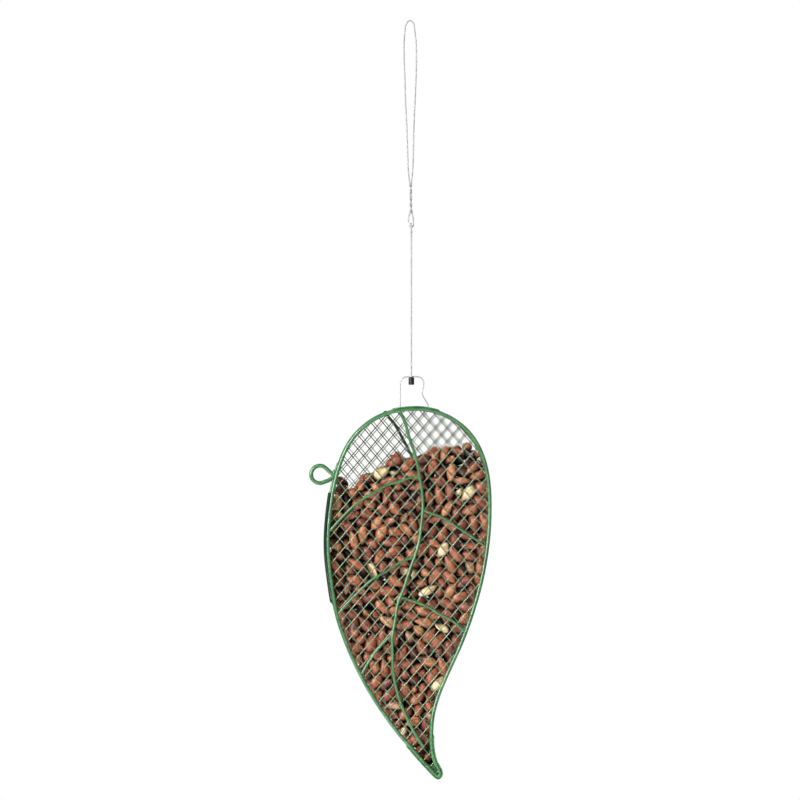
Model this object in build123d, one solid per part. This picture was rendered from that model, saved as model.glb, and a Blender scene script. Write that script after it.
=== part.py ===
from build123d import *

"""Leaf-shaped peanut feeder that hangs on a steel cable.

Millimetres. X runs to the right across the leaf, Y runs from the front panel to
the rear panel, and +Z is up. The origin is the point of the hanging loop that
bears on a hook: the underside of the cable at the top of the loop.

Two leaf-shaped wire rings each carry a welded mesh panel, a midrib and five
veins. A strip of the same mesh closes the side. A curved plate on the left is
the filling door, hinged on a pin at its lower end, with a wire pull loop. A bent
wire bail hooks under a strap at the top of the leaf and turns freely on the
cable, above a crimped ferrule.
"""

import math
import os
from bisect import bisect_right

# ---------------------------------------------------------------- driving sizes
DEPTH = 41.0  # over the two rings, front to rear
RING_WIRE = 3.0  # wire sizes are diameters
MIDRIB_WIRE = 2.4
VEIN_WIRE = 2.0
MESH_WIRE = 0.9
MESH_ALONG = 9.44  # across one mesh cell, left to right
MESH_UP = 11.08  # across one mesh cell, bottom to top
MESH_CROSSING = (-51.8, -375.1)  # (x, z) of one crossing of the front panel
REAR_MESH_SHIFT = 3.1  # the rear mesh sits this far to the right of the front one
PANEL_SETBACK = 1.55  # from a ring's centre plane to its panel's outer wires
WELD = 0.1  # how far welded wires sink into each other
STRAP_THICKNESS = 0.9
PIN_DIAMETER = 2.4  # hinge pin and the wires at the door's ends
PANEL_GAP = 0.6  # between the peanuts and the mesh around them

# (x, z) along the centreline of the leaf outline, clockwise from the top
LEAF = [
    (0.6, -310.2), (19.6, -312.2), (36.9, -320.3), (50.4, -333.7), (58.5, -351.1),
    (62.2, -369.9), (63.0, -389.0), (62.3, -408.2), (60.1, -427.2), (56.6, -446.1),
    (51.7, -464.6), (45.7, -482.9), (38.7, -500.7), (30.7, -518.2), (23.1, -535.8),
    (17.7, -554.1), (16.4, -573.1), (17.1, -583.6), (18.7, -590.0), (20.8, -594.9),
    (23.0, -599.1), (22.6, -603.2), (18.6, -600.9), (15.4, -597.4), (12.1, -593.9),
    (8.5, -590.0), (4.4, -585.3), (-0.7, -579.3), (-9.2, -569.5), (-20.7, -554.1),
    (-31.2, -538.1), (-40.5, -521.3), (-48.6, -503.9), (-55.4, -486.0),
    (-60.4, -467.5), (-63.4, -448.5), (-65.6, -429.5), (-65.9, -410.3),
    (-64.3, -391.2), (-61.4, -372.2), (-56.3, -353.7), (-48.1, -336.4),
    (-35.0, -322.5), (-18.2, -313.4),
]

# ---------------------------------------------------------------- derived sizes
RING_Y = DEPTH / 2 - RING_WIRE / 2  # centre planes of the two rings
OUTER_Y = RING_Y - PANEL_SETBACK  # outer wires of a panel
INNER_Y = OUTER_Y - MESH_WIRE + WELD  # inner wires of a panel
INSIDE_Y = INNER_Y - MESH_WIRE / 2  # inner face of a panel
RING_OUT = RING_WIRE / 2  # from the outline to the outside of the ring
STRAP_IN = RING_OUT - WELD  # from the outline to the underside of a strap
SIDE_OUTER = -0.1  # outer wires of the side strip, from the outline
SIDE_INNER = SIDE_OUTER - MESH_WIRE + WELD
PIN_R = PIN_DIAMETER / 2


# ---------------------------------------------------------------- shape helpers
def save(name, *shapes):
    """Writes the solids of one piece to its STEP file."""
    solids = []
    for shape in shapes:
        solids += shape.solids()
    piece = solids[0] if len(solids) == 1 else Compound(solids)
    export_step(piece, f"parts/{name}.step")


def point(x, z, y=0.0):
    return Vector(x, y, z)


def points(table, y=0.0):
    """Points at depth y from a table of (x, z)."""
    return [point(x, z, y) for x, z in table]


def steps(start, end, count):
    """Evenly spaced values from start to end, both included."""
    return [start + (end - start) * i / count for i in range(count + 1)]


def arc(centre, radius, degrees):
    """(x, z) on a circle at each angle."""
    return [
        (centre[0] + radius * math.cos(math.radians(angle)),
         centre[1] + radius * math.sin(math.radians(angle)))
        for angle in degrees
    ]


def smooth(through, tangents=None):
    """A smooth curve through points, timed by the distance between them."""
    timing = [0.0]
    for start, end in zip(through, through[1:]):
        timing.append(timing[-1] + (end - start).length)
    return Edge.make_spline(through, tangents=tangents, parameters=timing, scale=False)


def wire_on(path, radius):
    """A round wire along a path."""
    section = Plane(origin=path @ 0, z_dir=path % 0) * Circle(radius)
    return sweep(section, path=path)


def tube(through, radius, tangents=None):
    """A round wire along a smooth curve through points."""
    return wire_on(smooth(through, tangents), radius)


def rod(start, end, radius):
    """A straight round wire."""
    way = end - start
    return Solid.make_cylinder(radius, way.length, Plane(origin=start, z_dir=way.normalized()))


def cross_rod(place, half, radius):
    """A rod from front to rear through (x, z), centred in depth."""
    return rod(point(*place, -half), point(*place, half), radius)


# ---------------------------------------------------------------- leaf outline
# "along" is a length round the outline, clockwise from its top.
SAMPLES = 1440
CURVE = Edge.make_spline(points(LEAF), periodic=True)
TRACE = [CURVE.position_at(i / SAMPLES) for i in range(SAMPLES + 1)]
RUN = [0.0]  # length along the outline at each sample
for previous, current in zip(TRACE, TRACE[1:]):
    RUN.append(RUN[-1] + (current - previous).length)
AROUND = RUN[-1]


def outline_at(along, out=0.0):
    """(x, z) of the outline at a length along it, moved outward by out."""
    along = along % AROUND
    high = bisect_right(RUN, along, 1, SAMPLES)
    low = high - 1
    share = (along - RUN[low]) / (RUN[high] - RUN[low])
    place = TRACE[low] * (1 - share) + TRACE[high] * share
    before = TRACE[low - 1 if low else SAMPLES - 1]
    after = TRACE[high + 1 if high < SAMPLES else 1]
    middle_way = (TRACE[high] - TRACE[low]).normalized()
    low_way = (TRACE[low] - before).normalized() + middle_way
    high_way = middle_way + (after - TRACE[high]).normalized()
    way = (low_way * (1 - share) + high_way * share).normalized()
    # clockwise, so the outside is on the left of the way round
    return place.X - way.Z * out, place.Z + way.X * out


def crossings(level):
    """Lengths along the outline where it crosses a level, in order."""
    found = []
    for i in range(SAMPLES):
        start, end = TRACE[i].Z, TRACE[i + 1].Z
        if (start - level) * (end - level) <= 0 and start != end:
            share = (level - start) / (end - start)
            found.append(RUN[i] + share * (RUN[i + 1] - RUN[i]))
    return found


def right_at(level):
    return crossings(level)[0]


def left_at(level):
    return crossings(level)[-1]


def band(start, end, inner, outer, half, count=None):
    """A curved plate along the outline between two offsets, centred in depth."""
    stations = steps(start, end, count or max(6, int(abs(end - start) / 5)))
    outside, inside = (
        Edge.make_spline([point(*outline_at(along, out), -half) for along in stations])
        for out in (outer, inner)
    )
    first = Edge.make_line(outside @ 0, inside @ 0)
    last = Edge.make_line(outside @ 1, inside @ 1)
    face = Face(Wire([outside, last, inside, first]))
    return Solid.extrude(face, Vector(0, 2 * half, 0))


# ---------------------------------------------------------------- places along the outline
HINGE_LEVEL = -464.0
DOOR_TOP = -377.6
PLATE_FOOT = -460.2  # below this the door is narrow enough to pass the rings

STRAP_RIGHT = right_at(-313.0)
STRAP_LEFT = left_at(-312.1)
TIP_RIGHT = right_at(-571.0)
TIP_LEFT = left_at(-578.5)
HINGE = left_at(HINGE_LEVEL)
SILL = HINGE - 5.2  # wire below the door
HEAD = left_at(DOOR_TOP + 3.4)  # wire behind the door's top

PIN_PLACE = outline_at(HINGE)
SILL_PLACE = outline_at(SILL, -0.3)
HEAD_PLACE = outline_at(HEAD, -0.9)


# ---------------------------------------------------------------- rings and ribs
# (x, z) from the top down
FRONT_MIDRIB = [
    (-9.5, -310.9), (-7.6, -314.6), (-4.6, -321.2), (-1.4, -332.4), (2.1, -342.6),
    (3.8, -348.0), (6.6, -361.6), (9.3, -380.0), (9.6, -389.6), (8.3, -402.9),
    (6.6, -415.7), (2.0, -431.0), (-3.1, -445.6), (-5.9, -454.4), (-9.8, -463.7),
    (-12.6, -480.0), (-14.5, -490.2), (-14.6, -505.5), (-14.1, -518.4),
    (-12.0, -531.2), (-7.9, -545.0), (-3.4, -555.8), (2.8, -568.0), (10.5, -580.1),
]
# the rear midrib differs only at the top
REAR_MIDRIB = [
    (-20.0, -311.8), (-17.8, -315.6), (-12.7, -321.7), (-8.6, -328.3),
    (-4.6, -336.0), (-1.0, -342.6), (3.0, -351.0), (6.6, -361.6),
] + FRONT_MIDRIB[7:]
# (x, z) from the midrib out to the ring
VEINS = {
    "upper_left": [(6.6, -365.0), (-4.1, -366.1), (-7.4, -367.4), (-19.7, -371.3),
                   (-28.4, -376.4), (-36.6, -381.0), (-46.7, -388.6), (-57.0, -398.8),
                   (-65.3, -408.2)],
    "middle_left": [(1.5, -428.9), (-0.8, -429.4), (-13.6, -435.6), (-18.6, -439.2),
                    (-28.9, -444.8), (-39.0, -453.5), (-49.3, -463.7),
                    (-57.2, -472.9)],
    "lower_left": [(-14.4, -490.8), (-17.4, -492.5), (-23.8, -498.9),
                   (-28.9, -505.0), (-34.0, -512.6), (-38.9, -521.0)],
    "upper_right": [(9.8, -390.0), (17.3, -393.8), (24.4, -396.3), (30.0, -399.8),
                    (36.2, -403.9), (42.8, -408.0), (48.9, -412.1), (54.5, -416.2),
                    (61.4, -421.4)],
    "lower_right": [(-9.0, -460.4), (-6.7, -460.6), (-0.6, -462.6), (7.0, -465.2),
                    (15.2, -468.8), (22.4, -473.4), (29.5, -477.0), (35.6, -481.0),
                    (40.2, -485.6), (44.0, -488.6)],
}


def ring(y):
    return wire_on(Edge.make_spline(points(LEAF, y), periodic=True), RING_WIRE / 2)


def rib(line, diameter, side):
    """A rib welded to the outside of the front (-1) or rear (1) panel."""
    y = OUTER_Y + MESH_WIRE / 2 - WELD + diameter / 2
    return tube(points(line, side * y), diameter / 2)


# ---------------------------------------------------------------- flat mesh panels
EDGE = [outline_at(along) for along in steps(0, AROUND, 480)[:-1]]
SHORTEST_WIRE = 4


def spans(direction, offset):
    """Where a straight line crosses the outline, as pairs of distances along it."""
    way_x, way_z = direction
    found = []
    for (x0, z0), (x1, z1) in zip(EDGE, EDGE[1:] + EDGE[:1]):
        height0 = -way_z * x0 + way_x * z0 - offset
        height1 = -way_z * x1 + way_x * z1 - offset
        if (height0 > 0) != (height1 > 0):
            share = height0 / (height0 - height1)
            x, z = x0 + share * (x1 - x0), z0 + share * (z1 - z0)
            found.append(way_x * x + way_z * z)
    found.sort()
    return list(zip(found[::2], found[1::2]))


def panel(side, shift):
    """The front (-1) or rear (1) panel: rising wires outside, falling wires inside."""
    slope = math.atan2(MESH_UP, MESH_ALONG)
    pitch = MESH_ALONG * math.sin(slope)
    wires = []
    for rising, y in ((1, side * OUTER_Y), (-1, side * INNER_Y)):
        way_x, way_z = math.cos(slope), rising * math.sin(slope)
        first = -way_z * (MESH_CROSSING[0] + shift) + way_x * MESH_CROSSING[1]
        for k in range(-70, 71):
            offset = first + k * pitch
            for start, end in spans((way_x, way_z), offset):
                if end - start < SHORTEST_WIRE:
                    continue
                ends = [
                    point(t * way_x - offset * way_z, t * way_z + offset * way_x, y)
                    for t in (start, end)
                ]
                wires.append(rod(*ends, MESH_WIRE / 2))
    return wires


# ---------------------------------------------------------------- side strip
SIDE_HALF = RING_Y - RING_OUT + 0.7  # half depth of the strip, sunk into the rings
SHORTEST_SIDE_WIRE = 2.5
SIDE_OVERLAP = 1.5  # how far the strip runs under a strap


def slanted(middle, start, end, rising, out):
    """One wire of the side strip, crossing mid-depth at a length along the outline."""
    run = SIDE_HALF * MESH_ALONG / MESH_UP  # how far round it goes from mid-depth to a ring
    if middle + run <= start or middle - run >= end:
        return []
    # shares of the way from mid-depth to a ring, cut at the strip's ends
    low = max(-1.0, (start - middle) / run)
    high = min(1.0, (end - middle) / run)
    if (high - low) * run < SHORTEST_SIDE_WIRE:
        return []
    through = [
        point(*outline_at(middle + share * run, out), rising * share * SIDE_HALF)
        for share in steps(low, high, 4)
    ]
    return [tube(through, MESH_WIRE / 2)]


def side_mesh():
    wires = []
    for start, end in (
        (STRAP_RIGHT - SIDE_OVERLAP, TIP_RIGHT + SIDE_OVERLAP),
        (TIP_LEFT - SIDE_OVERLAP, SILL),
        (HEAD, STRAP_LEFT + SIDE_OVERLAP),
    ):
        for rising, out in ((1, SIDE_OUTER), (-1, SIDE_INNER)):
            for k in range(int(start / MESH_ALONG) - 5, int(end / MESH_ALONG) + 6):
                wires += slanted(k * MESH_ALONG, start, end, rising, out)
    return wires


# ---------------------------------------------------------------- straps
FOOT_LEFT, FOOT_RIGHT = -8.2, 14.4  # x of the slots for the bail's feet
SLOT_LEVEL = -308.5
SLOT_SIZE = (2.3, 5.6, 6)


def top_strap():
    strap = band(
        STRAP_LEFT - AROUND, STRAP_RIGHT, STRAP_IN, STRAP_IN + STRAP_THICKNESS, DEPTH / 2
    )
    for x in (FOOT_LEFT, FOOT_RIGHT):
        strap = strap - Pos(x, 0, SLOT_LEVEL) * Box(*SLOT_SIZE)
    return strap


def tip_strap():
    return band(
        TIP_RIGHT, TIP_LEFT, STRAP_IN, STRAP_IN + STRAP_THICKNESS, DEPTH / 2, count=30
    )


# ---------------------------------------------------------------- filling door
DOOR_THICKNESS = 1.2
DOOR_IN = RING_OUT + 0.4  # inside of the plate, clear of the rings
DOOR_OUT = DOOR_IN + DOOR_THICKNESS
TONGUE_HALF = INSIDE_Y - 0.2  # half width of the tongue, clear of the panels
TONGUE_OVERLAP = 3  # how far the tongue runs on into the plate
KNUCKLE_IN = PIN_R + 0.08  # bore, clear of the pin
KNUCKLE_OUT = KNUCKLE_IN + DOOR_THICKNESS

SHANK_WIRE = 2.0
SHANK_BOTTOM, SHANK_TOP = -382.0, -353.6
SHANK_OUT = RING_OUT - 0.05

HANDLE_WIRE = 3.2
PULL_CENTRE = (-72.2, -362.4)
PULL_RADIUS = 6.95  # centreline of the pull loop
# (x, z) of the loop's two ends, in order along the wire
PULL_START = [(-61.1, -361.0), (-63.0, -360.3), (-65.2, -359.2)]
PULL_END = [(-66.6, -368.1), (-63.9, -366.9), (-61.7, -365.2)]


def door_plate():
    """A full-width plate, and a tongue between the panels down to the hinge knuckle."""
    foot = left_at(PLATE_FOOT)
    plate = band(foot, left_at(DOOR_TOP), DOOR_IN, DOOR_OUT, DEPTH / 2)
    tongue = band(HINGE, foot + TONGUE_OVERLAP, DOOR_IN, DOOR_OUT, TONGUE_HALF)
    knuckle = cross_rod(PIN_PLACE, TONGUE_HALF, KNUCKLE_OUT)
    bore = cross_rod(PIN_PLACE, DEPTH, KNUCKLE_IN)
    return Part() + plate + tongue + knuckle - bore


def handle_shank():
    stations = steps(left_at(SHANK_BOTTOM), left_at(SHANK_TOP), 6)
    line = [outline_at(along, SHANK_OUT) for along in stations]
    return tube(points(line), SHANK_WIRE / 2)


def handle_loop():
    circle = arc(PULL_CENTRE, PULL_RADIUS, range(48, 289, 24))
    return tube(points(PULL_START + circle + PULL_END), HANDLE_WIRE / 2)


# ---------------------------------------------------------------- peanuts
# (x, z) of the top of the peanuts, left to right
PEANUT_LEVEL = [
    (-80.0, -362.0), (-55.4, -364.4), (-52.2, -367.2), (-45.8, -374.8),
    (-41.8, -369.6), (-37.8, -364.0), (-29.8, -362.7), (-25.4, -359.4),
    (-18.6, -353.6), (-9.7, -345.2), (-5.2, -350.4), (1.4, -351.2), (6.6, -348.0),
    (13.2, -348.0), (16.2, -343.5), (19.3, -340.5), (30.0, -341.2), (36.2, -341.2),
    (41.8, -337.9), (46.3, -338.2), (52.5, -341.0), (80.0, -343.0),
]
BELOW_LEAF = [(80, -640), (-80, -640)]  # lower corners of the block under that level


def peanuts():
    """One block inside the mesh, cut off at the level and cleared round the cross wires."""
    inset = SIDE_INNER - MESH_WIRE / 2 - PANEL_GAP
    half = INSIDE_Y - PANEL_GAP
    rim = [outline_at(along, inset) for along in steps(0, AROUND, 90)[:-1]]
    heap = Face(Wire([Edge.make_spline(points(rim), periodic=True)]))
    below = Face(Wire.make_polygon(points(PEANUT_LEVEL + BELOW_LEAF), close=True))
    heap_block = Solid.extrude(heap, Vector(0, 2 * half, 0)).moved(Pos(0, -half, 0))
    level_block = Solid.extrude(below, Vector(0, 4 * half, 0)).moved(Pos(0, -2 * half, 0))
    fill = heap_block & level_block
    for place, radius in (
        (PIN_PLACE, KNUCKLE_OUT + 0.5),
        (SILL_PLACE, PIN_R + 0.3),
        (HEAD_PLACE, PIN_R + 0.3),
    ):
        fill = fill - cross_rod(place, DEPTH, radius)
    return fill


# ---------------------------------------------------------------- cable
CABLE_WIRE = 1.1
CABLE_R = CABLE_WIRE / 2
CABLE_X = 0.9
KNOT = (CABLE_X, -163.2)  # (x, z) where the loop meets the single cable
EYE_IN = 0.95  # inside radius of the cable's own eye at the knot

# (x, z) along the hanging loop, up the left side and down the right
LOOP = [
    (-0.4, -130.7), (-1.4, -121.0), (-2.2, -101.6), (-2.9, -82.4), (-3.8, -63.2),
    (-4.4, -44.0), (-5.0, -24.8), (-4.9, -15.2), (-4.2, -6.6), (-2.6, -1.2),
    (0.0, CABLE_R),
    (2.3, -1.0), (3.4, -5.6), (4.5, -15.2), (4.9, -24.8), (4.6, -44.0),
    (3.8, -63.2), (3.0, -82.4), (2.5, -101.6), (1.7, -121.0), (0.8, -130.7),
]
# shares of the loop's curve where it is cut into solids
LOOP_CUTS = [0.0, 0.16, 0.33, 0.44, 0.48, 0.52, 0.56, 0.67, 0.84, 1.0]

TWIST_TOP = (0.2, -130.5)  # (x, z) of the twist's axis
TWIST_BOTTOM = (CABLE_X - 0.25, -152.5)
TWIST_TURNS = 2
TWIST_R = CABLE_R + 0.05  # from the middle of the twist to each strand
# (x, z) of each strand below the twist
TAIL_END = [(-0.9, -155.4), (-1.4, -158.2), (-1.5, -160.8)]
HELD_END = [(2.0, -156.0), (2.45, -159.4)]

KNOT_PIN_HALF = 1.45  # half length of the pin through the eye
KNOT_PIN_R = EYE_IN - 0.06
ARM_R = 0.42  # the two arms from the pin down to the cable
ARM_Y = 1.05  # at the pin
ARM_END_Y = 0.12  # where the arms meet the cable
ARM_BEND, ARM_END, DROP_START = 2.0, 4.6, 4.2  # below the knot


def hanging_loop():
    whole = smooth(points(LOOP))
    return [
        wire_on(whole.trim(low, high), CABLE_R) for low, high in zip(LOOP_CUTS, LOOP_CUTS[1:])
    ]


def strand(start_angle):
    """Points of one strand down the twist."""
    through = []
    for share in steps(0, 1, 8 * TWIST_TURNS):
        angle = start_angle + 2 * math.pi * TWIST_TURNS * share
        x = TWIST_TOP[0] + (TWIST_BOTTOM[0] - TWIST_TOP[0]) * share
        z = TWIST_TOP[1] + (TWIST_BOTTOM[1] - TWIST_TOP[1]) * share
        through.append(point(x + TWIST_R * math.cos(angle), z, TWIST_R * math.sin(angle)))
    return through


def loop_splice():
    """Two twisted strands: a short tail, and one that ends in the eye at the knot."""
    eye = arc(KNOT, EYE_IN + CABLE_R, range(5, -290, -24))
    return [
        tube(strand(math.pi) + points(TAIL_END), CABLE_R),
        tube(strand(0) + points(HELD_END + eye), CABLE_R),
    ]


def cable_drop():
    """The pin through the eye, its two arms and the straight cable below."""
    x, z = KNOT
    down = Vector(0, 0, -1)
    drop = Part() + cross_rod(KNOT, KNOT_PIN_HALF, KNOT_PIN_R)
    for side in (-1, 1):
        line = [
            point(x, z, side * ARM_Y),
            point(x, z - ARM_BEND, side * ARM_Y),
            point(x, z - ARM_END, side * ARM_END_Y),
        ]
        drop = drop + tube(line, ARM_R, tangents=[down, down])
    end = point(x, FERRULE_BOTTOM + 0.3)
    return drop + rod(point(x, z - DROP_START), end, CABLE_R)


# ---------------------------------------------------------------- bail and ferrule
BAIL_R = 0.5
BAIL_TOP = -284.3
BAIL_EYE_R = CABLE_R + 0.1 + BAIL_R  # centreline of the eye, clear of the cable
FERRULE_DIAMETER = 4.7
FERRULE_LENGTH = 6.0
FERRULE_ROUNDING = 0.9
FERRULE_TOP = BAIL_TOP - BAIL_R - 0.04
FERRULE_BOTTOM = FERRULE_TOP - FERRULE_LENGTH

# (x, z) down each leg, from the eye
LEG_END = -306.0
LEFT_LEG = [
    (CABLE_X - BAIL_EYE_R, BAIL_TOP), (-1.6, BAIL_TOP), (-3.2, -284.42), (-5.4, -285.1),
    (-7.0, -286.6), (-7.9, -289.0), (-8.15, -293.0), (-8.2, -300.0), (FOOT_LEFT, LEG_END),
]
RIGHT_LEG = [
    (CABLE_X + BAIL_EYE_R, BAIL_TOP), (3.6, BAIL_TOP), (5.6, -284.36), (7.8, -284.95),
    (9.6, -286.1), (10.6, -288.0), (10.6, -291.0), (9.9, -294.6), (9.5, -297.4),
    (10.5, -300.4), (FOOT_RIGHT - 0.6, LEG_END),
]


def ferrule():
    body = rod(
        point(CABLE_X, FERRULE_TOP), point(CABLE_X, FERRULE_BOTTOM), FERRULE_DIAMETER / 2
    )
    body = fillet(body.edges(), FERRULE_ROUNDING)
    return body - rod(
        point(CABLE_X, FERRULE_TOP + 1), point(CABLE_X, FERRULE_BOTTOM - 1), CABLE_R + 0.01
    )


def foot_level():
    """Centre level of the feet, just under the lowest of the strap between them."""
    underside = [
        outline_at(along, STRAP_IN) for along in steps(STRAP_LEFT - AROUND, STRAP_RIGHT, 200)
    ]
    lowest = min(z for x, z in underside if FOOT_LEFT - 0.6 < x < FOOT_RIGHT + 0.6)
    return lowest - BAIL_R - 0.05


def foot(top, x, level, corner, length):
    """The lower end of a leg: down through the slot, then inward under the strap."""
    path = FilletPolyline(
        point(*top), point(x, level), point(x + length, level), radius=corner
    )
    return wire_on(path, BAIL_R)


def bail():
    level = foot_level()
    return [
        Solid.make_torus(BAIL_EYE_R, BAIL_R, Plane(origin=point(CABLE_X, BAIL_TOP))),
        tube(points(LEFT_LEG), BAIL_R, [Vector(-1, 0, 0), Vector(0, 0, -1)]),
        tube(points(RIGHT_LEG), BAIL_R, [Vector(1, 0, 0), Vector(0.38, 0, -1).normalized()]),
        foot(LEFT_LEG[-1], FOOT_LEFT, level, corner=1.6, length=4.6),
        foot(RIGHT_LEG[-1], FOOT_RIGHT + 0.5, level, corner=1.3, length=-4.9),
    ]


# ---------------------------------------------------------------- write
os.makedirs("parts", exist_ok=True)
for end_name, side, midrib, shift in (
    ("front", -1, FRONT_MIDRIB, 0.0),
    ("rear", 1, REAR_MIDRIB, REAR_MESH_SHIFT),
):
    save(f"{end_name}_ring", ring(side * RING_Y))
    save(f"{end_name}_midrib", rib(midrib, MIDRIB_WIRE, side))
    for vein, line in VEINS.items():
        save(f"{end_name}_vein_{vein}", rib(line, VEIN_WIRE, side))
    save(f"{end_name}_mesh", *panel(side, shift))

save("side_mesh", *side_mesh())
save("top_strap", top_strap())
save("tip_strap", tip_strap())
save("door_head_wire", cross_rod(HEAD_PLACE, RING_Y, PIN_R))
save("door_sill_wire", cross_rod(SILL_PLACE, RING_Y, PIN_R))
save("hinge_pin", cross_rod(PIN_PLACE, RING_Y, PIN_R))
save("door_plate", door_plate())
save("handle_shank", handle_shank())
save("handle_loop", handle_loop())
save("peanuts", peanuts())
save("hanging_loop", *hanging_loop())
save("loop_splice", *loop_splice())
save("cable_drop", cable_drop())
save("ferrule", ferrule())
save("bail", *bail())
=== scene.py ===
"""Leaf-shaped hanging feeder: green wire mesh panels full of peanut kernels, on a steel cable.

It hangs in the XZ plane, from the cable loop at z = 0 down to the tip near z = -602 mm.
The front looks towards -Y and +X is to the right. Shape sizes are in millimetres,
while materials and the stage work in metres.
"""
import math
from itertools import product

import bpy
import numpy as np
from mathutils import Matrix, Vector


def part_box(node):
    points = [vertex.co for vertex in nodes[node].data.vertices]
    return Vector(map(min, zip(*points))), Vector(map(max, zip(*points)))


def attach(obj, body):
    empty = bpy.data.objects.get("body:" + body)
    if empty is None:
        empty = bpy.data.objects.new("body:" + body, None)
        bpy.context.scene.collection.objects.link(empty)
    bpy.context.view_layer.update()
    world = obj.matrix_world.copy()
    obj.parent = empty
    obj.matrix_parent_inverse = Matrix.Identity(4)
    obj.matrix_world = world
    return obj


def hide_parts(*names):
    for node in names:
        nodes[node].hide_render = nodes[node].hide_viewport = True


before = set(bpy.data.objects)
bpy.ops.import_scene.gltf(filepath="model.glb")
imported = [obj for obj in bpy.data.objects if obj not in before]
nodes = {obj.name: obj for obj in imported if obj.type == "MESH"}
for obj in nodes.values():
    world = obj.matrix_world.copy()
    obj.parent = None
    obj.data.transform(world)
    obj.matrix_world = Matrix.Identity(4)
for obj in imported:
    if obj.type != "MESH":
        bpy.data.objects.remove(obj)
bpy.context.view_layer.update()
rng = np.random.default_rng(20)
MM = 0.001


# ------------------------------------------------------------------ curves
def unit(vector):
    return vector / np.linalg.norm(vector)


def unit_rows(vectors):
    return vectors / np.maximum(np.linalg.norm(vectors, axis=1), 1e-6)[:, None]


def arc_length(path):
    """Distance from the start at every point of a path."""
    return np.r_[0, np.cumsum(np.linalg.norm(np.diff(path, axis=0), axis=1))]


def spline(points, step):
    """Points every step along a natural cubic curve through points."""
    points = np.array(points, float)
    knots = arc_length(points)
    count, gaps = len(points), np.diff(knots)
    system = np.zeros((count, count))
    target = np.zeros((count, 3))
    system[0, 0] = system[-1, -1] = 1
    for i in range(1, count - 1):
        before, after = gaps[i - 1], gaps[i]
        system[i, i - 1:i + 2] = before, 2 * (before + after), after
        target[i] = 6 * ((points[i + 1] - points[i]) / after
                         - (points[i] - points[i - 1]) / before)
    curve = np.linalg.solve(system, target)  # second derivatives at the points
    place = np.linspace(0, knots[-1], max(2, int(knots[-1] / step) + 1))
    k = np.clip(np.searchsorted(knots, place, side="right") - 1, 0, count - 2)
    done, left = (place - knots[k])[:, None], (knots[k + 1] - place)[:, None]
    gap = gaps[k][:, None]
    return (
        curve[k] * left**3 / (6 * gap) + curve[k + 1] * done**3 / (6 * gap)
        + (points[k] / gap - curve[k] * gap / 6) * left
        + (points[k + 1] / gap - curve[k + 1] * gap / 6) * done
    )


def frames(path):
    """Tangent and two steady normals along a path."""
    tangent = unit_rows(np.gradient(path, axis=0))
    helper = [0, 1, 0] if abs(tangent[0][1]) < 0.9 else [1, 0, 0]
    normals = [unit(np.cross(tangent[0], helper))]
    for along in tangent[1:]:
        normals.append(unit(normals[-1] - along * (normals[-1] @ along)))
    normals = np.array(normals)
    return tangent, normals, np.cross(tangent, normals)


def in_plane(points):
    """(x, z) points put in the middle plane, y = 0."""
    return [(x, 0, z) for x, z in points]


def arc(centre, radius, degrees):
    """(x, z) points on a circle."""
    angles = [math.radians(d) for d in degrees]
    return [(centre[0] + radius * math.cos(a), centre[1] + radius * math.sin(a)) for a in angles]


def coil(x, z, radius, turns, pitch, samples):
    """A coil round a vertical axis, winding down from z."""
    angle = np.linspace(0, 2 * np.pi * turns, samples)
    return np.c_[x + radius * np.cos(angle), radius * np.sin(angle),
                 z - pitch * angle / (2 * np.pi)]


# ------------------------------------------------------------------ meshes
def band_faces(rings, sides, closed=False):
    """Quads between rings; the last ring joins the first if closed, else both ends are capped."""
    faces = []
    for i in range(rings if closed else rings - 1):
        this, following = i * sides, (i + 1) % rings * sides
        for j in range(sides):
            k = (j + 1) % sides
            faces.append((this + j, this + k, following + k, following + j))
    if not closed:
        faces.append(tuple(range(sides))[::-1])
        faces.append(tuple((rings - 1) * sides + j for j in range(sides)))
    return faces


def ball(rings, sides):
    """Unit sphere as vertices and faces, poles along X."""
    verts, faces = [(1.0, 0, 0)], []
    for i in range(1, rings):
        a = math.pi * i / rings
        for j in range(sides):
            b = 2 * math.pi * j / sides
            verts.append((math.cos(a), math.sin(a) * math.cos(b), math.sin(a) * math.sin(b)))
    verts.append((-1.0, 0, 0))
    last = len(verts) - 1
    for j in range(sides):
        k = (j + 1) % sides
        faces.append((0, 1 + j, 1 + k))
        for i in range(rings - 2):
            start = 1 + i * sides
            faces.append((start + j, start + sides + j, start + sides + k, start + k))
        start = 1 + (rings - 2) * sides
        faces.append((last, start + k, start + j))
    return np.array(verts), faces


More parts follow.
